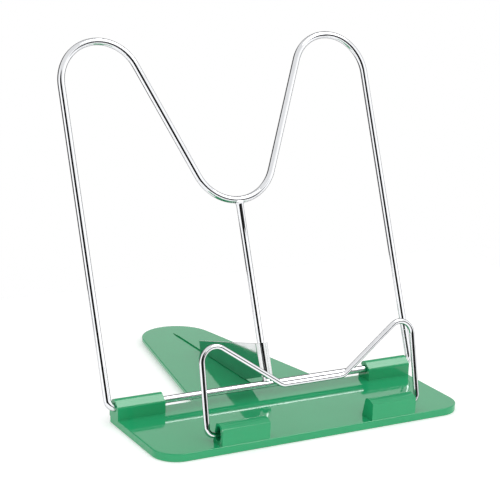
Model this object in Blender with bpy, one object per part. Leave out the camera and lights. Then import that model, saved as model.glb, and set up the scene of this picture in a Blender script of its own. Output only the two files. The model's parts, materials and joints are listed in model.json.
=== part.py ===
"""Fold-down book display stand: a glossy plastic base, a bent-wire back frame with a
welded centre rod, a sheet-metal prop that swings on that rod, and a page-holder wire.

Frame of the part: +X to the reader's right, +Y to the rear, +Z up, metres.  The origin
lies on the table under the middle of the back frame's hinge wire.
"""

import math

import bmesh
import bpy

MM = 0.001

# base moulding
PLATE_HALF_WIDTH = 92.0 * MM
PLATE_FRONT = -59.3 * MM
PLATE_REAR = 6.4 * MM
PLATE_THICKNESS = 4.3 * MM
FRONT_CORNER_RADIUS = 13.3 * MM
REAR_CORNER_RADIUS = 1.5 * MM
EDGE_ROUND = 0.5 * MM
TONGUE_TIP_RADIUS = 22.5 * MM
TONGUE_TIP_CENTRE = 110.6 * MM
TONGUE_TAPER = math.radians(10.5)
TONGUE_ROOT_RADIUS = 2.0 * MM
GROOVE_WIDTH = 2.0 * MM
GROOVE_DEPTH = 0.8 * MM
GROOVE_START = 12.0 * MM
GROOVE_END = 118.0 * MM

# underside of the base; the tongue is a bare sheet with no rim
RIM_WIDTH = 2.0 * MM
SKIN_THICKNESS = 2.1 * MM
RIB_WIDTH = 1.6 * MM
KEEL_WIDTH = 8.0 * MM
KEEL_END = 124.0 * MM
RIB_COLUMNS = (31.0 * MM, 61.0 * MM)
PLATE_ROW = -27.0 * MM
TONGUE_ROWS = ((38.0 * MM, 28.0 * MM), (72.0 * MM, 22.0 * MM), (106.0 * MM, 16.0 * MM))

# hinge barrels at the rear of the plate, open at the back so the wire snaps in
HINGE_HEIGHT = 10.1 * MM
BARREL_FRONT = -4.6 * MM
BARREL_SHOULDER_RADIUS = 2.0 * MM
BARREL_SHOULDER_HEIGHT = 10.05 * MM
BARREL_CREST = (1.04 * MM, 11.4 * MM)
BARREL_CREST_RADIUS = 3.0 * MM
BARREL_SLOPE_ANGLE = math.radians(125)
BARREL_CREST_END = math.radians(5)
BARREL_INNER_END = 64.4 * MM
BARREL_OUTER_END = 92.0 * MM
BARREL_LIP_ANGLE = math.radians(22)
BARREL_SADDLE_ANGLE = math.radians(-38)
BARREL_JAW_TIP = (3.6 * MM, 8.4 * MM)
BARREL_JAW_BACK = 6.1 * MM
BARREL_JAW_HEIGHT = 6.8 * MM
RUNNING_CLEARANCE = 0.3 * MM

# page-holder clips at the front of the plate: upright front, arched top, sloping back
CLIP_INNER_END = 31.2 * MM
CLIP_OUTER_END = 58.8 * MM
CLIP_FRONT = -58.9 * MM
CLIP_SHOULDER = 13.3 * MM
CLIP_RIDGE_Y = -53.3 * MM
CLIP_TOP = 15.0 * MM
CLIP_CREST_RADIUS = 2.2 * MM
CLIP_BACK_SLOPE = math.radians(14)
CLIP_MOUTH_LOW = (-53.7 * MM, 8.5 * MM, 3.0 * MM)
CLIP_MOUTH_HIGH = (-54.2 * MM, 11.7 * MM, 2.1 * MM)
CLIP_MOUTH_DEPTH = 7.0 * MM
HOLDER_PIVOT_Y = -52.5 * MM
HOLDER_PIVOT_Z = 8.6 * MM

# back frame, drawn flat in its own plane with the hinge wire along X
FRAME_LEAN = math.radians(22.1)
FRAME_WIRE_RADIUS = 2.0 * MM
FOOT_X = 95.4 * MM
UPRIGHT_X = 95.9 * MM
FOOT_BEND_RADIUS = 4.2 * MM
PEAK_RADIUS = 23.4 * MM
PEAK_CENTRE_Z = 173.2 * MM
VALLEY_RADIUS = 25.5 * MM
VALLEY_CENTRE_Z = 129.2 * MM
WELD_GAP = 0.3 * MM

# prop: a sheet with a loose sleeve rolled round the centre rod
SHEET_THICKNESS = 0.7 * MM
SLEEVE_INNER_RADIUS = 2.7 * MM
SLEEVE_OFFSET = 0.4 * MM
SLEEVE_BOTTOM = 4.2 * MM
SLEEVE_TOP = 22.9 * MM
PROP_REACH = 76.7 * MM
PROP_TAIL_HEIGHT = 6.0 * MM
PROP_FOOT_GAP = 0.25 * MM

# page holder, drawn flat in its own plane with its pivot along X
HOLDER_LEAN = math.radians(13.0)
HOLDER_WIRE_RADIUS = 1.5 * MM
HOLDER_HALF_SPAN = 64.0 * MM
HOLDER_FOOT_BEND = 4.0 * MM
HOLDER_PIN_END = 46.0 * MM
HOLDER_PEAK_RADIUS = 7.8 * MM
HOLDER_PEAK_CENTRE_Z = 36.7 * MM
HOLDER_SLOPE = math.radians(34.7)
HOLDER_BAR_HEIGHT = 20.1 * MM
HOLDER_BAR_BEND = 6.0 * MM

ARC_STEP = math.radians(9)


def clear_scene():
    for item in list(bpy.data.objects):
        bpy.data.objects.remove(item, do_unlink=True)


def make_material(name, colour, roughness, metallic):
    material = bpy.data.materials.new(name)
    material.use_nodes = True
    shader = material.node_tree.nodes["Principled BSDF"]
    shader.inputs["Base Color"].default_value = (*colour, 1.0)
    shader.inputs["Roughness"].default_value = roughness
    shader.inputs["Metallic"].default_value = metallic
    return material


def arc(centre, radius, start, end):
    """Points of a circular arc in a plane, both ends included; angles in radians."""
    steps = max(2, math.ceil(abs(end - start) / ARC_STEP))
    points = []
    for step in range(steps + 1):
        angle = start + (end - start) * step / steps
        points.append((centre[0] + radius * math.cos(angle), centre[1] + radius * math.sin(angle)))
    return points


def add_object(name, data, parent=None):
    item = bpy.data.objects.new(name, data)
    bpy.context.scene.collection.objects.link(item)
    item.parent = parent
    return item


def add_empty(name, location, tilt=0.0, parent=None):
    pivot = add_object(name, None, parent)
    pivot.location = location
    pivot.rotation_euler.x = tilt
    return pivot


def prism_mesh(name, outline, low, high, place):
    """A prism over a flat outline; place(a, b, depth) turns outline points into 3-D."""
    shape = bmesh.new()
    face = shape.faces.new([shape.verts.new(place(a, b, low)) for a, b in outline])
    grown = bmesh.ops.extrude_face_region(shape, geom=[face])
    tops = [part for part in grown["geom"] if isinstance(part, bmesh.types.BMVert)]
    step = [end - start for start, end in zip(place(0, 0, low), place(0, 0, high))]
    bmesh.ops.translate(shape, verts=tops, vec=step)
    bmesh.ops.recalc_face_normals(shape, faces=shape.faces)
    mesh = bpy.data.meshes.new(name)
    shape.to_mesh(mesh)
    shape.free()
    return mesh


def upward(a, b, depth):
    return (a, b, depth)


def sideways(a, b, depth):
    return (depth, a, b)


def box_mesh(name, low, high):
    outline = [(low[0], low[1]), (high[0], low[1]), (high[0], high[1]), (low[0], high[1])]
    return prism_mesh(name, outline, low[2], high[2], upward)


def add_helper(name, mesh, parent=None):
    """A shape that only serves a Boolean and is no piece of the stand."""
    helper = add_object(name, mesh, parent)
    helper.hide_render = True
    helper.display_type = "WIRE"
    return helper


def combine(target, helper, operation):
    boolean = target.modifiers.new(helper.name, "BOOLEAN")
    boolean.operation = operation
    boolean.solver = "EXACT"
    boolean.object = helper


def tongue_half_width(tip, y):
    """Half width of the tongue at y when its tip has the given radius."""
    return (tip - (y - TONGUE_TIP_CENTRE) * math.sin(TONGUE_TAPER)) / math.cos(TONGUE_TAPER)


def base_outline():
    """Plate and tongue seen from above."""
    half = PLATE_HALF_WIDTH
    corner = FRONT_CORNER_RADIUS
    rear = REAR_CORNER_RADIUS
    fillet = TONGUE_ROOT_RADIUS
    slant = (1 - math.sin(TONGUE_TAPER)) / math.cos(TONGUE_TAPER)
    root = tongue_half_width(TONGUE_TIP_RADIUS, PLATE_REAR) + fillet * slant
    quarter = math.pi / 2
    half_turn = math.pi
    points = arc((-half + corner, PLATE_FRONT + corner), corner, half_turn, 3 * quarter)
    points += arc((half - corner, PLATE_FRONT + corner), corner, 3 * quarter, 4 * quarter)
    points += arc((half - rear, PLATE_REAR - rear), rear, 0, quarter)
    points += arc((root, PLATE_REAR + fillet), fillet, 3 * quarter, half_turn + TONGUE_TAPER)
    points += arc((0, TONGUE_TIP_CENTRE), TONGUE_TIP_RADIUS, TONGUE_TAPER, half_turn - TONGUE_TAPER)
    points += arc((-root, PLATE_REAR + fillet), fillet, -TONGUE_TAPER, -quarter)
    points += arc((-half + rear, PLATE_REAR - rear), rear, quarter, half_turn)
    return points


def plate_hollow_outline():
    """Space under the plate inside its rim."""
    half = PLATE_HALF_WIDTH - RIM_WIDTH
    front = PLATE_FRONT + RIM_WIDTH
    rear = PLATE_REAR - RIM_WIDTH
    corner = FRONT_CORNER_RADIUS - RIM_WIDTH
    back_corner = max(REAR_CORNER_RADIUS - RIM_WIDTH, 0.5 * MM)
    quarter = math.pi / 2
    points = arc((-half + corner, front + corner), corner, 2 * quarter, 3 * quarter)
    points += arc((half - corner, front + corner), corner, 3 * quarter, 4 * quarter)
    points += arc((half - back_corner, rear - back_corner), back_corner, 0, quarter)
    points += arc((-half + back_corner, rear - back_corner), back_corner, quarter, 2 * quarter)
    return points


def tongue_hollow_outline():
    """Space under the tongue, drawn past its edge so that no rim is left."""
    tip = TONGUE_TIP_RADIUS + 1 * MM
    start = PLATE_REAR + 0.8 * MM
    half = tongue_half_width(tip, start)
    points = [(half, start)]
    points += arc((0, TONGUE_TIP_CENTRE), tip, TONGUE_TAPER, math.pi - TONGUE_TAPER)
    points.append((-half, start))
    return points


def add_block(name, low, high):
    return add_helper(name, box_mesh(name, low, high))


def underside_hollow():
    """The space under the skin of the base, divided by its keel and ribs."""
    depth = PLATE_THICKNESS - SKIN_THICKNESS
    below = -2 * MM
    over = depth + 1 * MM
    under = below - 1 * MM
    wide = PLATE_HALF_WIDTH
    half_rib = RIB_WIDTH / 2
    half_keel = KEEL_WIDTH / 2
    hollow = add_helper("hollow", prism_mesh("hollow", plate_hollow_outline(), below, depth, upward))
    tongue_mesh = prism_mesh("tongue_hollow", tongue_hollow_outline(), below, depth, upward)
    combine(hollow, add_helper("tongue_hollow", tongue_mesh), "UNION")
    throat = tongue_half_width(TONGUE_TIP_RADIUS, PLATE_REAR) - 4 * MM
    low = (-throat, PLATE_REAR - RIM_WIDTH - 1 * MM, below)
    high = (throat, PLATE_REAR + 2 * MM, depth)
    combine(hollow, add_block("throat", low, high), "UNION")
    low = (-half_keel, PLATE_FRONT, under)
    high = (half_keel, KEEL_END, over)
    combine(hollow, add_block("keel", low, high), "DIFFERENCE")
    low = (-wide, PLATE_ROW - half_rib, under)
    high = (wide, PLATE_ROW + half_rib, over)
    combine(hollow, add_block("plate_row", low, high), "DIFFERENCE")
    for index, (y, half_length) in enumerate(TONGUE_ROWS):
        low = (-half_length, y - half_rib, under)
        high = (half_length, y + half_rib, over)
        combine(hollow, add_block(f"tongue_row_{index}", low, high), "DIFFERENCE")
    for index, x in enumerate([side * column for column in RIB_COLUMNS for side in (-1, 1)]):
        low = (x - half_rib, PLATE_FRONT, under)
        high = (x + half_rib, PLATE_REAR, over)
        combine(hollow, add_block(f"column_{index}", low, high), "DIFFERENCE")
    return hollow


def barrel_profile():
    """Hook round the hinge wire, in Y and Z: front wall, cap, lip, bore and lower jaw."""
    root = PLATE_THICKNESS - 0.7 * MM
    shoulder = (BARREL_FRONT + BARREL_SHOULDER_RADIUS, BARREL_SHOULDER_HEIGHT)
    bore = FRAME_WIRE_RADIUS + RUNNING_CLEARANCE
    axis = (0.0, HINGE_HEIGHT)
    points = [(BARREL_FRONT, root)]
    points += arc(shoulder, BARREL_SHOULDER_RADIUS, math.pi, BARREL_SLOPE_ANGLE)
    points += arc(BARREL_CREST, BARREL_CREST_RADIUS, BARREL_SLOPE_ANGLE, BARREL_CREST_END)
    points += arc(axis, bore, BARREL_LIP_ANGLE, BARREL_SADDLE_ANGLE + 2 * math.pi)
    points.append(BARREL_JAW_TIP)
    points.append((BARREL_JAW_BACK, BARREL_JAW_HEIGHT))
    points.append((BARREL_JAW_BACK, root))
    return points


def clip_profile():
    """Cross-section of a page-holder clip, in Y and Z."""
    root = PLATE_THICKNESS - 0.7 * MM
    quarter = math.pi / 2
    run = CLIP_RIDGE_Y - CLIP_FRONT
    rise = CLIP_TOP - CLIP_SHOULDER
    arch = (run * run + rise * rise) / (2 * rise)
    crest = CLIP_CREST_RADIUS
    points = [(CLIP_FRONT, root)]
    points += arc((CLIP_RIDGE_Y, CLIP_TOP - arch), arch, quarter + math.asin(run / arch), quarter)
    points += arc((CLIP_RIDGE_Y, CLIP_TOP - crest), crest, quarter, CLIP_BACK_SLOPE)[1:]
    fall = points[-1][1] - root
    points.append((points[-1][0] + fall * math.tan(CLIP_BACK_SLOPE), root))
    return points


def clip_mouth_profile():
    """Egg-shaped opening in a clip's outer end: two circles and their tangents."""
    low_y, low_z, low_radius = CLIP_MOUTH_LOW
    high_y, high_z, high_radius = CLIP_MOUTH_HIGH
    reach = math.hypot(high_y - low_y, high_z - low_z)
    heading = math.atan2(high_z - low_z, high_y - low_y)
    spread = math.acos((low_radius - high_radius) / reach)
    points = arc((high_y, high_z), high_radius, heading - spread, heading + spread)
    turned = heading - spread + 2 * math.pi
    points += arc((low_y, low_z), low_radius, heading + spread, turned)
    return points


def groove_outline():
    """Slot for the prop's foot, with a tapered tail."""
    half = GROOVE_WIDTH / 2
    tail = 6 * MM
    return [
        (-half, GROOVE_START),
        (half, GROOVE_START),
        (half, GROOVE_END - tail),
        (0.25 * half, GROOVE_END),
        (-0.25 * half, GROOVE_END),
        (-half, GROOVE_END - tail),
    ]


def apply_profile(base, name, outline, near, far, side, operation):
    """Combine the base with a profile drawn along X, on the left (-1) or right (1)."""
    ends = sorted((side * near, side * far))
    helper = add_helper(name, prism_mesh(name, outline, *ends, sideways))
    combine(base, helper, operation)


def build_base(plastic):
    mesh = prism_mesh("base_moulding", base_outline(), 0.0, PLATE_THICKNESS, upward)
    mesh.materials.append(plastic)
    base = add_object("base_moulding", mesh)
    edges = base.modifiers.new("edges", "BEVEL")
    edges.width = EDGE_ROUND
    edges.segments = 2
    edges.limit_method = "ANGLE"
    edges.angle_limit = math.radians(60)
    combine(base, underside_hollow(), "DIFFERENCE")
    barrel = barrel_profile()
    clip = clip_profile()
    mouth = clip_mouth_profile()
    axis = (HOLDER_PIVOT_Y, HOLDER_PIVOT_Z)
    bore = arc(axis, HOLDER_WIRE_RADIUS + RUNNING_CLEARANCE, 0, 2 * math.pi)[:-1]
    outer = CLIP_OUTER_END
    floor = outer - CLIP_MOUTH_DEPTH
    for side, tag in ((-1, "left"), (1, "right")):
        apply_profile(base, f"barrel_{tag}", barrel, BARREL_INNER_END, BARREL_OUTER_END, side, "UNION")
        apply_profile(base, f"clip_{tag}", clip, CLIP_INNER_END, outer, side, "UNION")
        apply_profile(base, f"mouth_{tag}", mouth, floor, outer + 2 * MM, side, "DIFFERENCE")
        apply_profile(base, f"bore_{tag}", bore, HOLDER_PIN_END - 2 * MM, floor + 2 * MM, side, "DIFFERENCE")
    low = PLATE_THICKNESS - GROOVE_DEPTH
    high = PLATE_THICKNESS + 1 * MM
    groove = add_helper("groove", prism_mesh("groove", groove_outline(), low, high, upward))
    combine(base, groove, "DIFFERENCE")


def build_wire(name, path, radius, closed, material, parent):
    """Round wire bent flat in its parent's XZ plane."""
    curve = bpy.data.curves.new(name, "CURVE")
    curve.dimensions = "3D"
    curve.twist_mode = "MINIMUM"
    curve.bevel_depth = radius
    curve.bevel_resolution = 5
    curve.use_fill_caps = True
    spline = curve.splines.new("POLY")
    spline.points.add(len(path) - 1)
    for point, (x, z) in zip(spline.points, path):
        point.co = (x, 0.0, z, 1.0)
    spline.use_cyclic_u = closed
    curve.materials.append(material)
    return add_object(name, curve, parent)


def back_frame_path():
    """Closed loop: hinge wire, uprights, two peaks and the valley between them.

    The peaks and the valley are circles joined by their common inner tangents.
    """
    half_turn = math.pi
    quarter = half_turn / 2
    peak_x = UPRIGHT_X - PEAK_RADIUS
    rise = PEAK_CENTRE_Z - VALLEY_CENTRE_Z
    reach = math.hypot(peak_x, rise)
    lean = math.acos((PEAK_RADIUS + VALLEY_RADIUS) / reach) - math.atan2(rise, peak_x)
    foot = FOOT_X - FOOT_BEND_RADIUS
    path = [(0.0, 0.0)]
    path += arc((foot, FOOT_BEND_RADIUS), FOOT_BEND_RADIUS, -quarter, 0)
    path += arc((peak_x, PEAK_CENTRE_Z), PEAK_RADIUS, 0, half_turn - lean)
    path += arc((0.0, VALLEY_CENTRE_Z), VALLEY_RADIUS, -lean, lean - half_turn)
    path += arc((-peak_x, PEAK_CENTRE_Z), PEAK_RADIUS, lean, half_turn)
    path += arc((-foot, FOOT_BEND_RADIUS), FOOT_BEND_RADIUS, half_turn, half_turn + quarter)
    return path


def page_holder_path():
    """Open wire: pin, foot bend, upright, peak, slope, low bar, and back again."""
    half_turn = math.pi
    quarter = half_turn / 2
    foot = HOLDER_HALF_SPAN - HOLDER_FOOT_BEND
    peak_x = HOLDER_HALF_SPAN - HOLDER_PEAK_RADIUS
    slope_x = peak_x - HOLDER_PEAK_RADIUS * math.sin(HOLDER_SLOPE)
    slope_z = HOLDER_PEAK_CENTRE_Z + HOLDER_PEAK_RADIUS * math.cos(HOLDER_SLOPE)
    corner_x = slope_x - (slope_z - HOLDER_BAR_HEIGHT) / math.tan(HOLDER_SLOPE)
    bend_x = corner_x - HOLDER_BAR_BEND * math.tan(HOLDER_SLOPE / 2)
    right = [(HOLDER_PIN_END, 0.0)]
    right += arc((foot, HOLDER_FOOT_BEND), HOLDER_FOOT_BEND, -quarter, 0)
    right += arc((peak_x, HOLDER_PEAK_CENTRE_Z), HOLDER_PEAK_RADIUS, 0, quarter + HOLDER_SLOPE)
    bend_centre = (bend_x, HOLDER_BAR_HEIGHT + HOLDER_BAR_BEND)
    right += arc(bend_centre, HOLDER_BAR_BEND, HOLDER_SLOPE - quarter, -quarter)
    left = [(-x, z) for x, z in reversed(right)]
    return right + left


def build_centre_rod(steel, parent):
    low = FRAME_WIRE_RADIUS + WELD_GAP
    high = VALLEY_CENTRE_Z - VALLEY_RADIUS - FRAME_WIRE_RADIUS - WELD_GAP
    build_wire("centre_rod", [(0.0, low), (0.0, high)], FRAME_WIRE_RADIUS, False, steel, parent)


def prop_outline():
    """Edge of the prop's sheet: distance behind the rod, and height along it."""
    drop = HINGE_HEIGHT - PLATE_THICKNESS - PROP_FOOT_GAP
    sine = math.sin(FRAME_LEAN)
    cosine = math.cos(FRAME_LEAN)
    start = SLEEVE_INNER_RADIUS
    heel = (drop + SLEEVE_BOTTOM * cosine) / sine
    toe = (PROP_REACH * sine - drop) / cosine
    tail = (PROP_REACH - 0.1 * PROP_TAIL_HEIGHT, toe + PROP_TAIL_HEIGHT)
    return [(start, SLEEVE_BOTTOM), (heel, SLEEVE_BOTTOM), (PROP_REACH, toe), tail, (start, SLEEVE_TOP)]


def build_prop(steel, parent):
    """Sleeve ring and sheet as one body, with its origin on the rod's axis."""
    centre = (SLEEVE_OFFSET, 0.0)
    outer = SLEEVE_INNER_RADIUS + SHEET_THICKNESS
    half = SHEET_THICKNESS / 2
    full = 2 * math.pi
    ring = arc(centre, outer, 0, full)[:-1]
    mesh = prism_mesh("prop_plate", ring, SLEEVE_BOTTOM, SLEEVE_TOP, upward)
    mesh.materials.append(steel)
    prop = add_object("prop_plate", mesh, parent)
    sheet = add_helper("sheet", prism_mesh("sheet", prop_outline(), -half, half, sideways), parent)
    combine(prop, sheet, "UNION")
    hole = arc(centre, SLEEVE_INNER_RADIUS, 0, full)[:-1]
    bore_mesh = prism_mesh("sleeve_bore", hole, SLEEVE_BOTTOM - 1 * MM, SLEEVE_TOP + 1 * MM, upward)
    combine(prop, add_helper("sleeve_bore", bore_mesh, parent), "DIFFERENCE")


def main():
    clear_scene()
    plastic = make_material("green_plastic", (0.10, 0.42, 0.23), 0.22, 0.0)
    chrome = make_material("chromed_wire", (0.80, 0.80, 0.82), 0.12, 1.0)
    plated_sheet = make_material("plated_sheet", (0.72, 0.74, 0.74), 0.2, 1.0)

    build_base(plastic)

    hinge = add_empty("frame_hinge", (0.0, 0.0, HINGE_HEIGHT), -FRAME_LEAN)
    build_wire("back_frame", back_frame_path(), FRAME_WIRE_RADIUS, True, chrome, hinge)
    build_centre_rod(chrome, hinge)
    build_prop(plated_sheet, hinge)

    pivot = add_empty("holder_pivot", (0.0, HOLDER_PIVOT_Y, HOLDER_PIVOT_Z), -HOLDER_LEAN)
    build_wire("page_holder", page_holder_path(), HOLDER_WIRE_RADIUS, False, chrome, pivot)


main()
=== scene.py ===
import json
import math

import bmesh
import bpy
from mathutils import Matrix, Vector


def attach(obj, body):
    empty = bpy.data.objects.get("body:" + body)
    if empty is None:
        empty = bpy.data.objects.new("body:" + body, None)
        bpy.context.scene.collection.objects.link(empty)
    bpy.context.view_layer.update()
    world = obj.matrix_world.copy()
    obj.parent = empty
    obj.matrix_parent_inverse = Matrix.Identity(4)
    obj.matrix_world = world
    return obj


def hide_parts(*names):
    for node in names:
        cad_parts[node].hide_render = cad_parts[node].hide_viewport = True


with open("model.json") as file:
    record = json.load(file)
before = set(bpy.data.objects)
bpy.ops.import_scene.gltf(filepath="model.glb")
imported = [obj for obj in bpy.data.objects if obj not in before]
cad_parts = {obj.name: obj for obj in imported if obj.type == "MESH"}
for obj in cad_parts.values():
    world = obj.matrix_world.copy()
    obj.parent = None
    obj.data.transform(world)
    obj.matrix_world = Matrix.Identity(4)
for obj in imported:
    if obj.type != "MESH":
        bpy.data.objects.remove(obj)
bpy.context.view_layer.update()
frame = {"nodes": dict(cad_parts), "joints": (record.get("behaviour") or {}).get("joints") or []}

mm = 0.001
quarterTurn = math.pi / 2
joints = {joint["name"]: joint for joint in frame["joints"]}
hingeAt = Vector(joints["frame_fold"]["pos_m"])
holderAt = Vector(joints["page_holder_fold"]["pos_m"])
print("frame loaded")


def deselectAll():
    if bpy.context.object and bpy.context.object.mode != "OBJECT":
        bpy.ops.object.mode_set(mode="OBJECT")
    bpy.ops.object.select_all(action="DESELECT")


def makeActive(piece):
    deselectAll()
    piece.select_set(True)
    bpy.context.view_layer.objects.active = piece


def enterEdit(piece, kind="VERT"):
    makeActive(piece)
    bpy.ops.object.mode_set(mode="EDIT")
    bpy.ops.mesh.select_mode(type=kind)


def leaveEdit():
    bpy.ops.object.mode_set(mode="OBJECT")


def selectEdges(piece, test):
    # picks edges by their place; the piece is in edit mode
    bpy.ops.mesh.select_all(action="DESELECT")
    bpy.ops.mesh.select_mode(type="EDGE")
    shape = bmesh.from_edit_mesh(piece.data)
    for edge in shape.edges:
        if test(edge):
            edge.select_set(True)
    shape.select_flush_mode()
    bmesh.update_edit_mesh(piece.data)


def capEnds():
    bpy.ops.mesh.select_all(action="DESELECT")
    bpy.ops.mesh.select_non_manifold()
    bpy.ops.mesh.edge_face_add()


def closeMesh(mergeWithin=0.0):
    bpy.ops.mesh.select_all(action="SELECT")
    if mergeWithin:
        bpy.ops.mesh.remove_doubles(threshold=mergeWithin)
    bpy.ops.mesh.normals_make_consistent(inside=False)
    leaveEdit()


def addModifier(piece, kind, **values):
    makeActive(piece)
    modifier = piece.modifiers.new(kind.lower(), kind)
    for name, value in values.items():
        setattr(modifier, name, value)
    bpy.ops.object.modifier_apply(modifier=modifier.name)


def settle(piece, lean, place):
    # puts a piece drawn upright at the origin into its place, and keeps that place in its mesh
    makeActive(piece)
    piece.rotation_euler = (-math.radians(lean), 0.0, 0.0)
    piece.location = place
    bpy.ops.object.transform_apply(location=True, rotation=True, scale=True)


def finishPiece(piece, body, material, node, angle):
    makeActive(piece)
    bpy.ops.object.shade_smooth_by_angle(angle=math.radians(angle))
    piece.data.materials.clear()
    piece.data.materials.append(material)
    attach(piece, body)
    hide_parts(node)
    print(f"{piece.name}: {len(piece.data.polygons)} faces")


def flattenShading(piece):
    # flat faces beside eased edges keep flat reflections
    addModifier(piece, "WEIGHTED_NORMAL", mode="FACE_AREA", weight=100, keep_sharp=True)


def newMaterial(name):
    material = bpy.data.materials.new(name)
    material.use_nodes = True
    tree = material.node_tree
    return material, tree, tree.nodes["Principled BSDF"]


def addNode(tree, kind, **values):
    node = tree.nodes.new(kind)
    for name, value in values.items():
        if name in node.inputs:
            node.inputs[name].default_value = value
        else:
            setattr(node, name, value)
    return node


def noiseOn(tree, scale, detail, stretch=(1, 1, 1)):
    place = addNode(tree, "ShaderNodeTexCoord")
    mapping = addNode(tree, "ShaderNodeMapping", Scale=stretch)
    noise = addNode(tree, "ShaderNodeTexNoise", Scale=scale, Detail=detail)
    tree.links.new(place.outputs["Object"], mapping.inputs["Vector"])
    tree.links.new(mapping.outputs["Vector"], noise.inputs["Vector"])
    return noise.outputs["Fac"]


def spread(tree, source, low, high, fromLow=0.3, fromHigh=0.7):
    node = addNode(tree, "ShaderNodeMapRange")
    node.inputs["From Min"].default_value = fromLow
    node.inputs["From Max"].default_value = fromHigh
    node.inputs["To Min"].default_value = low
    node.inputs["To Max"].default_value = high
    tree.links.new(source, node.inputs["Value"])
    return node.outputs["Result"]


def blendColours(tree, factor, first, second):
    node = addNode(tree, "ShaderNodeMix", data_type="RGBA")
    colours = [socket for socket in node.inputs if socket.type == "RGBA"]
    colours[0].default_value = (*first, 1.0)
    colours[1].default_value = (*second, 1.0)
    tree.links.new(factor, node.inputs["Factor"])
    return [socket for socket in node.outputs if socket.type == "RGBA"][0]


# noise entries are scale, detail and, where it has a grain, the stretch on each axis
plasticLook = {
    "colour": (0.015, 0.340, 0.132),
    "clouded": (0.018, 0.360, 0.144),
    "cloud": (22.0, 3.0),
    "cloudSpan": (0.3, 0.7),
    "smooth": 0.045,
    "worn": 0.10,
    "rub": (260.0, 5.0),
    "relief": (95.0, 2.0),
    "reliefDepth": 0.03 * mm,
    "reliefStrength": 0.10,
    "ior": 1.50,
}

chromeLook = {
    "colour": (0.83, 0.84, 0.86),
    "clouded": (0.76, 0.77, 0.79),
    "cloud": (140.0, 4.0),
    "cloudSpan": (0.45, 0.75),
    "smooth": 0.03,
    "worn": 0.08,
    "rub": (700.0, 4.0),
    "relief": (700.0, 4.0),
    "reliefDepth": 0.01 * mm,
    "reliefStrength": 0.2,
    "rim": (0.0, 0.0, 0.0, 1.0),
}

sheetLook = {
    "colour": (0.74, 0.76, 0.76),
    "clouded": (0.66, 0.68, 0.68),
    "cloud": (120.0, 4.0),
    "cloudSpan": (0.3, 0.7),
    "smooth": 0.05,
    "worn": 0.10,
    "rub": (2600.0, 3.0, (1, 0.06, 1)),
    "relief": (2600.0, 3.0, (1, 0.06, 1)),
    "reliefDepth": 0.01 * mm,
    "reliefStrength": 0.25,
}


def makeSurface(name, look):
    # colour, roughness and fine relief all vary a little over the surface
    material, tree, shader = newMaterial(name)
    haze = spread(tree, noiseOn(tree, *look["cloud"]), 0, 1, *look["cloudSpan"])
    colour = blendColours(tree, haze, look["colour"], look["clouded"])
    tree.links.new(colour, shader.inputs["Base Color"])
    rough = spread(tree, noiseOn(tree, *look["rub"]), look["smooth"], look["worn"])
    tree.links.new(rough, shader.inputs["Roughness"])
    bump = addNode(tree, "ShaderNodeBump", Distance=look["reliefDepth"], Strength=look["reliefStrength"])
    tree.links.new(noiseOn(tree, *look["relief"]), bump.inputs["Height"])
    tree.links.new(bump.outputs["Normal"], shader.inputs["Normal"])
    return material, shader


plastic, plasticShader = makeSurface("glossyGreenPlastic", plasticLook)
plasticShader.inputs["IOR"].default_value = plasticLook["ior"]
chrome, chromeShader = makeSurface("brightChrome", chromeLook)
chromeShader.inputs["Metallic"].default_value = 1.0
chromeShader.inputs["Specular Tint"].default_value = chromeLook["rim"]
plated, platedShader = makeSurface("platedSheet", sheetLook)
platedShader.inputs["Metallic"].default_value = 1.0
print("materials ready")


mouldingShape = {
    "mergeWithin": 0.01 * mm,
    "flatWithin": 0.4,
    "edgeRound": 0.45 * mm,
    "roundSteps": 4,
    "sharpFrom": 50,
}


def makeMoulding():
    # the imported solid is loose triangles, so a copy is merged before its edges are eased
    shape = mouldingShape
    piece = bpy.data.objects.new("baseMoulding", frame["nodes"]["base_moulding"].data.copy())
    bpy.context.scene.collection.objects.link(piece)
    enterEdit(piece)
    bpy.ops.mesh.select_all(action="SELECT")
    bpy.ops.mesh.remove_doubles(threshold=shape["mergeWithin"])
    bpy.ops.mesh.dissolve_limited(angle_limit=math.radians(shape["flatWithin"]))
    leaveEdit()
    addModifier(
        piece, "BEVEL", width=shape["edgeRound"], segments=shape["roundSteps"],
        limit_method="ANGLE", angle_limit=math.radians(shape["sharpFrom"]),
        use_clamp_overlap=True, harden_normals=False,
    )
    finishPiece(piece, "base", plastic, "base_moulding", angle=35)
    flattenShading(piece)


makeMoulding()


wireMesh = {
    "sides": 48,
    "bendStep": 4,
    "fewestSteps": 4,
    "mergeWithin": 0.1 * mm,
}


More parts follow.
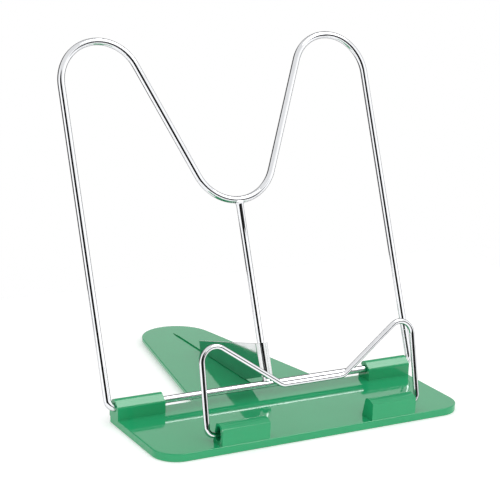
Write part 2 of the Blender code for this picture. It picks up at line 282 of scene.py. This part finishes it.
class wireBender:
    # bends a wire flat in the XZ plane: straight runs and round bends, one after the other
    def __init__(self, name, radius, start):
        self.point = Vector(start)
        self.heading = 0.0
        deselectAll()
        bpy.ops.mesh.primitive_circle_add(
            vertices=wireMesh["sides"], radius=radius, location=(start[0], 0, start[1]),
            rotation=(0, quarterTurn, 0),
        )
        self.piece = bpy.context.object
        self.piece.name = name
        self.piece.data.name = name
        bpy.ops.object.transform_apply(location=True, rotation=True, scale=True)
        enterEdit(self.piece)
        bpy.ops.mesh.select_all(action="SELECT")

    def run(self, length, parts=1):
        step = length / parts
        for part in range(parts):
            move = Vector((math.cos(self.heading), math.sin(self.heading))) * step
            bpy.ops.mesh.extrude_region_move(TRANSFORM_OT_translate={"value": (move.x, 0, move.y)})
            self.point += move

    def bend(self, radius, turn):
        # turn is in radians, anticlockwise when seen from the front
        side = math.copysign(1, turn)
        out = Vector((-math.sin(self.heading), math.cos(self.heading))) * side * radius
        centre = self.point + out
        steps = max(wireMesh["fewestSteps"], math.ceil(abs(math.degrees(turn)) / wireMesh["bendStep"]))
        bpy.ops.mesh.spin(
            steps=steps, angle=turn, center=(centre.x, 0, centre.y), axis=(0, 1, 0), dupli=False
        )
        arm = self.point - centre
        arm.rotate(Matrix.Rotation(turn, 2))
        self.point = centre + arm
        self.heading += turn

    def resize(self, growth):
        bpy.ops.transform.resize(value=(1, growth, growth))


frameShape = {
    "lean": 22.1,
    "wire": 2.0 * mm,
    "footX": 95.4 * mm,
    "uprightX": 95.9 * mm,
    "footBend": 4.2 * mm,
    "peakRadius": 23.4 * mm,
    "peakHeight": 173.2 * mm,
    "valleyRadius": 25.5 * mm,
    "valleyHeight": 129.2 * mm,
}


def makeBackFrame():
    # one closed loop: hinge wire, upright, peak, valley, peak, upright, hinge wire
    shape = frameShape
    peakX = shape["uprightX"] - shape["peakRadius"]
    rise = shape["peakHeight"] - shape["valleyHeight"]
    reach = math.hypot(peakX, rise)
    radii = shape["peakRadius"] + shape["valleyRadius"]
    steepness = math.acos(radii / reach) - math.atan2(rise, peakX)
    slope = math.sqrt(reach * reach - radii * radii)
    foot = shape["footX"] - shape["footBend"]
    climb = shape["peakHeight"] - shape["footBend"]
    wander = shape["uprightX"] - shape["footX"]
    upright = math.hypot(climb, wander)
    tilt = math.atan2(wander, climb)
    wire = wireBender("backFrame", shape["wire"], (0, 0))
    wire.run(foot, 3)
    wire.bend(shape["footBend"], quarterTurn - tilt)
    wire.run(upright, 4)
    wire.bend(shape["peakRadius"], tilt + math.pi - steepness)
    wire.run(slope, 2)
    wire.bend(shape["valleyRadius"], -2 * (quarterTurn - steepness))
    wire.run(slope, 2)
    wire.bend(shape["peakRadius"], math.pi - steepness + tilt)
    wire.run(upright, 4)
    wire.bend(shape["footBend"], quarterTurn - tilt)
    wire.run(foot, 3)
    print("back frame closes to", [round(value / mm, 3) for value in wire.point])
    closeMesh(wireMesh["mergeWithin"])
    settle(wire.piece, shape["lean"], hingeAt)
    finishPiece(wire.piece, "frame", chrome, "back_frame", angle=60)


makeBackFrame()


rodShape = {
    "weldRadius": 2.7 * mm,
    "weldHeight": 0.9 * mm,
    "sink": 0.5 * mm,
    "parts": 4,
}


def makeCentreRod():
    # straight rod, butt-welded to the hinge wire and to the bottom of the valley
    wire = frameShape["wire"]
    low = wire - rodShape["sink"]
    high = frameShape["valleyHeight"] - frameShape["valleyRadius"] - wire + rodShape["sink"]
    deselectAll()
    bpy.ops.mesh.primitive_circle_add(vertices=wireMesh["sides"], radius=wire, location=(0, 0, low))
    piece = bpy.context.object
    piece.name = "centreRod"
    bpy.ops.object.transform_apply(location=True, rotation=True, scale=True)
    enterEdit(piece)
    bpy.ops.mesh.select_all(action="SELECT")
    bead = rodShape["weldHeight"] + rodShape["sink"]
    swell = rodShape["weldRadius"] / wire
    halfSwell = math.sqrt(swell)
    straight = (high - low - 2 * bead) / rodShape["parts"]
    steps = [(0, swell), (bead / 2, 1 / halfSwell), (bead / 2, 1 / halfSwell)]
    steps += [(straight, 1)] * rodShape["parts"]
    steps += [(bead / 2, halfSwell), (bead / 2, halfSwell)]
    for rise, growth in steps:
        if rise:
            bpy.ops.mesh.extrude_region_move(TRANSFORM_OT_translate={"value": (0, 0, rise)})
        if growth != 1:
            bpy.ops.transform.resize(value=(growth, growth, 1))
    capEnds()
    closeMesh()
    settle(piece, frameShape["lean"], hingeAt)
    finishPiece(piece, "frame", chrome, "centre_rod", angle=50)


makeCentreRod()


holderShape = {
    "lean": 13.0,
    "wire": 1.5 * mm,
    "halfSpan": 64.0 * mm,
    "footBend": 4.0 * mm,
    "pinEnd": 46.0 * mm,
    "peakRadius": 7.8 * mm,
    "peakHeight": 36.7 * mm,
    "slope": 34.7,
    "barHeight": 20.1 * mm,
    "barBend": 6.0 * mm,
    "endRound": 0.4 * mm,
}


def makePageHolder():
    # pin, foot, upright, peak, slope, low bar, and the same again to the other pin
    shape = holderShape
    slope = math.radians(shape["slope"])
    foot = shape["halfSpan"] - shape["footBend"]
    peakX = shape["halfSpan"] - shape["peakRadius"]
    slopeX = peakX - shape["peakRadius"] * math.sin(slope)
    slopeZ = shape["peakHeight"] + shape["peakRadius"] * math.cos(slope)
    fall = slopeZ - shape["barHeight"]
    cornerX = slopeX - fall / math.tan(slope)
    cut = shape["barBend"] * math.tan(slope / 2)
    slant = fall / math.sin(slope) - cut
    upright = shape["peakHeight"] - shape["footBend"]
    endRound = shape["endRound"]
    pin = foot - shape["pinEnd"] - endRound
    shrink = 1 - endRound / shape["wire"]
    wire = wireBender("pageHolder", shape["wire"], (shape["pinEnd"], 0))
    wire.resize(shrink)
    wire.run(endRound)
    wire.resize(1 / shrink)
    wire.run(pin)
    wire.bend(shape["footBend"], quarterTurn)
    wire.run(upright, 2)
    wire.bend(shape["peakRadius"], quarterTurn + slope)
    wire.run(slant, 2)
    wire.bend(shape["barBend"], -slope)
    wire.run(2 * (cornerX - cut), 2)
    wire.bend(shape["barBend"], -slope)
    wire.run(slant, 2)
    wire.bend(shape["peakRadius"], quarterTurn + slope)
    wire.run(upright, 2)
    wire.bend(shape["footBend"], quarterTurn)
    wire.run(pin)
    wire.run(endRound)
    wire.resize(shrink)
    print("page holder ends at", [round(value / mm, 3) for value in wire.point])
    capEnds()
    closeMesh()
    settle(wire.piece, shape["lean"], holderAt)
    finishPiece(wire.piece, "holder", chrome, "page_holder", angle=60)


makePageHolder()


propShape = {
    "thickness": 0.7 * mm,
    "rollRadius": 3.05 * mm,
    "rollOffset": 0.4 * mm,
    "rollTurn": 330,
    "rollSteps": 44,
    "rollBottom": 4.2 * mm,
    "rollTop": 22.9 * mm,
    "reach": 76.7 * mm,
    "tailHeight": 6.0 * mm,
    "tailSlant": 0.1,
    "plateTop": 4.3 * mm,
    "footGap": 0.25 * mm,
    "edgeRound": 0.12 * mm,
    "edgeSteps": 2,
    "sharpFrom": 50,
    "mergeWithin": 0.01 * mm,
}


def makeProp():
    # one blank of sheet metal: its front edge is rolled round the rod, the rest stands behind it
    shape = propShape
    lean = math.radians(frameShape["lean"])
    drop = hingeAt.z - shape["plateTop"] - shape["footGap"]
    start = shape["rollRadius"]
    heel = (drop + shape["rollBottom"] * math.cos(lean)) / math.sin(lean)
    toe = (shape["reach"] * math.sin(lean) - drop) / math.cos(lean)
    tail = (shape["reach"] - shape["tailSlant"] * shape["tailHeight"], toe + shape["tailHeight"])
    corners = [
        (start, shape["rollBottom"]), (heel, shape["rollBottom"]), (shape["reach"], toe),
        tail, (start, shape["rollTop"]),
    ]
    deselectAll()
    bpy.ops.mesh.primitive_circle_add(vertices=len(corners), radius=10 * mm, fill_type="NGON")
    piece = bpy.context.object
    piece.name = "propPlate"
    for vertex, (back, up) in zip(piece.data.vertices, corners):
        vertex.co = (0, back, up)
    enterEdit(piece, "EDGE")
    selectEdges(piece, lambda edge: all(abs(v.co.y - start) < shape["mergeWithin"] for v in edge.verts))
    bpy.ops.mesh.spin(
        steps=shape["rollSteps"], angle=-math.radians(shape["rollTurn"]),
        center=(shape["rollOffset"], 0, 0), axis=(0, 0, 1),
    )
    closeMesh(shape["mergeWithin"])
    addModifier(piece, "SOLIDIFY", thickness=shape["thickness"], offset=0, use_even_offset=True)
    addModifier(
        piece, "BEVEL", width=shape["edgeRound"], segments=shape["edgeSteps"],
        limit_method="ANGLE", angle_limit=math.radians(shape["sharpFrom"]),
    )
    settle(piece, frameShape["lean"], hingeAt)
    finishPiece(piece, "prop", plated, "prop_plate", angle=35)
    flattenShading(piece)


makeProp()


cameraView = {
    "place": (-0.39676, -0.68141, 0.29193),
    "turn": (75.371, -1.951, -28.828),
    "lens": 108.5,
    "sensor": 36,
}

studio = {
    "middle": (0, 0, 0.08),
    "floorSize": 0.60,
    "floorPlace": (0, -0.06, -0.0002),
    "floorColour": (0.82, 0.82, 0.82, 1),
    "floorGlow": 0.35,
    "floorRoughness": 0.9,
    "glintPlace": (0.56, -0.30, 1.08),
    "glintSize": 0.7,
    "glintRadiance": 5.5,
    "fillPlace": (-0.2, -1.2, 0.9),
    "fillSize": 1.5,
    "fillRadiance": 1.25,
}

# strengths of the light tent; the pairs are where one zone fades into the next
lightTent = {
    "backdrop": 1.0,
    "sides": 1.3,
    "zenith": 0.9,
    "zenithFade": (0.3, 0.8),
    "wallTop": (0.80, 0.66),
    "lowBehind": 0.30,
    "lowFade": (0.0, 0.08),
    "behind": 1.0,
    "behindFade": (-0.55, -0.80),
    "highBehind": 0.22,
    "highFade": (0.36, 0.48),
    "rearLeft": 0.12,
    "rearLeftFade": (0.70, 0.85),
    "front": 0.05,
    "frontFade": (-0.62, -0.74),
    "frontTop": (0.32, 0.27),
    "viewer": 0.01,
    "viewerFade": (35, 30),
}


def smoothStep(tree, value, low, high):
    node = addNode(tree, "ShaderNodeMapRange", interpolation_type="SMOOTHSTEP")
    node.inputs["From Min"].default_value = low
    node.inputs["From Max"].default_value = high
    tree.links.new(value, node.inputs["Value"])
    return node.outputs["Result"]


def both(tree, first, second):
    node = addNode(tree, "ShaderNodeMath", operation="MULTIPLY")
    tree.links.new(first, node.inputs[0])
    tree.links.new(second, node.inputs[1])
    return node.outputs[0]


def dotWith(tree, direction, axis):
    node = addNode(tree, "ShaderNodeVectorMath", operation="DOT_PRODUCT")
    node.inputs[1].default_value = axis
    tree.links.new(direction, node.inputs[0])
    return node.outputs["Value"]


def mixValue(tree, factor, first, second):
    node = addNode(tree, "ShaderNodeMix", data_type="FLOAT")
    sockets = {socket.name: socket for socket in node.inputs if socket.type == "VALUE"}
    for name, value in (("Factor", factor), ("A", first), ("B", second)):
        if isinstance(value, (int, float)):
            sockets[name].default_value = value
        else:
            tree.links.new(value, sockets[name])
    return node.outputs[0]


def makeFloor():
    deselectAll()
    bpy.ops.mesh.primitive_plane_add(size=studio["floorSize"], location=studio["floorPlace"])
    floor = bpy.context.object
    floor.name = "paleFloor"
    material, tree, shader = newMaterial("paleFloor")
    shader.inputs["Base Color"].default_value = studio["floorColour"]
    shader.inputs["Roughness"].default_value = studio["floorRoughness"]
    shader.inputs["Specular IOR Level"].default_value = 0.0
    shader.inputs["Emission Color"].default_value = (1, 1, 1, 1)
    shader.inputs["Emission Strength"].default_value = studio["floorGlow"]
    floor.data.materials.append(material)


def makeSky():
    # a light tent: bright above and at the sides, dimmer behind the stand, dark where the viewer stands
    world = bpy.data.worlds.new("lightTent")
    world.use_nodes = True
    tree = world.node_tree
    background = tree.nodes["Background"]
    background.inputs["Color"].default_value = (1, 1, 1, 1)
    direction = addNode(tree, "ShaderNodeTexCoord").outputs["Generated"]
    toViewer = (Vector(cameraView["place"]) - Vector(studio["middle"])).normalized()
    level = Vector((toViewer.x, toViewer.y, 0)).normalized()
    height = dotWith(tree, direction, (0, 0, 1))
    wall = smoothStep(tree, height, *lightTent["wallTop"])
    tent = mixValue(
        tree, smoothStep(tree, height, *lightTent["zenithFade"]), lightTent["sides"], lightTent["zenith"]
    )

    above = smoothStep(tree, height, *lightTent["lowFade"])
    dim = mixValue(tree, above, lightTent["lowBehind"], lightTent["behind"])
    dim = mixValue(tree, smoothStep(tree, height, *lightTent["highFade"]), dim, lightTent["highBehind"])
    rear = smoothStep(tree, dotWith(tree, direction, level), *lightTent["behindFade"])
    tent = mixValue(tree, both(tree, wall, rear), tent, dim)

    left = smoothStep(tree, dotWith(tree, direction, (level.x, -level.y, 0)), *lightTent["rearLeftFade"])
    tent = mixValue(tree, both(tree, wall, left), tent, lightTent["rearLeft"])

    front = smoothStep(tree, dotWith(tree, direction, (0, 1, 0)), *lightTent["frontFade"])
    low = smoothStep(tree, height, *lightTent["frontTop"])
    tent = mixValue(tree, both(tree, low, front), tent, lightTent["front"])

    viewerFade = [math.cos(math.radians(angle)) for angle in lightTent["viewerFade"]]
    viewer = smoothStep(tree, dotWith(tree, direction, toViewer), *viewerFade)
    tent = mixValue(tree, viewer, tent, lightTent["viewer"])

    seen = addNode(tree, "ShaderNodeLightPath").outputs["Is Camera Ray"]
    tent = mixValue(tree, seen, tent, lightTent["backdrop"])
    tree.links.new(tent, background.inputs["Strength"])
    bpy.context.scene.world = world


def makeLamp(name, place, size, radiance, mirrored):
    # a mirrored lamp gives the glints only, the other gives soft light without glints
    deselectAll()
    bpy.ops.object.light_add(type="AREA", location=place)
    lamp = bpy.context.object
    lamp.name = name
    lamp.data.shape = "SQUARE"
    lamp.data.size = size
    lamp.data.energy = radiance * math.pi * size * size
    lamp.visible_glossy = mirrored
    lamp.visible_diffuse = not mirrored
    lamp.rotation_euler = (Vector(studio["middle"]) - Vector(place)).to_track_quat("-Z", "Y").to_euler()


def makeCamera():
    deselectAll()
    turn = [math.radians(angle) for angle in cameraView["turn"]]
    bpy.ops.object.camera_add(location=cameraView["place"], rotation=turn)
    camera = bpy.context.object
    camera.name = "viewCamera"
    camera.data.lens = cameraView["lens"]
    camera.data.sensor_width = cameraView["sensor"]
    camera.data.sensor_fit = "HORIZONTAL"
    bpy.context.scene.camera = camera


makeFloor()
makeSky()
makeLamp("glintLamp", studio["glintPlace"], studio["glintSize"], studio["glintRadiance"], True)
makeLamp("fillLamp", studio["fillPlace"], studio["fillSize"], studio["fillRadiance"], False)
makeCamera()
bpy.context.scene.view_settings.view_transform = "Standard"
print("studio ready")
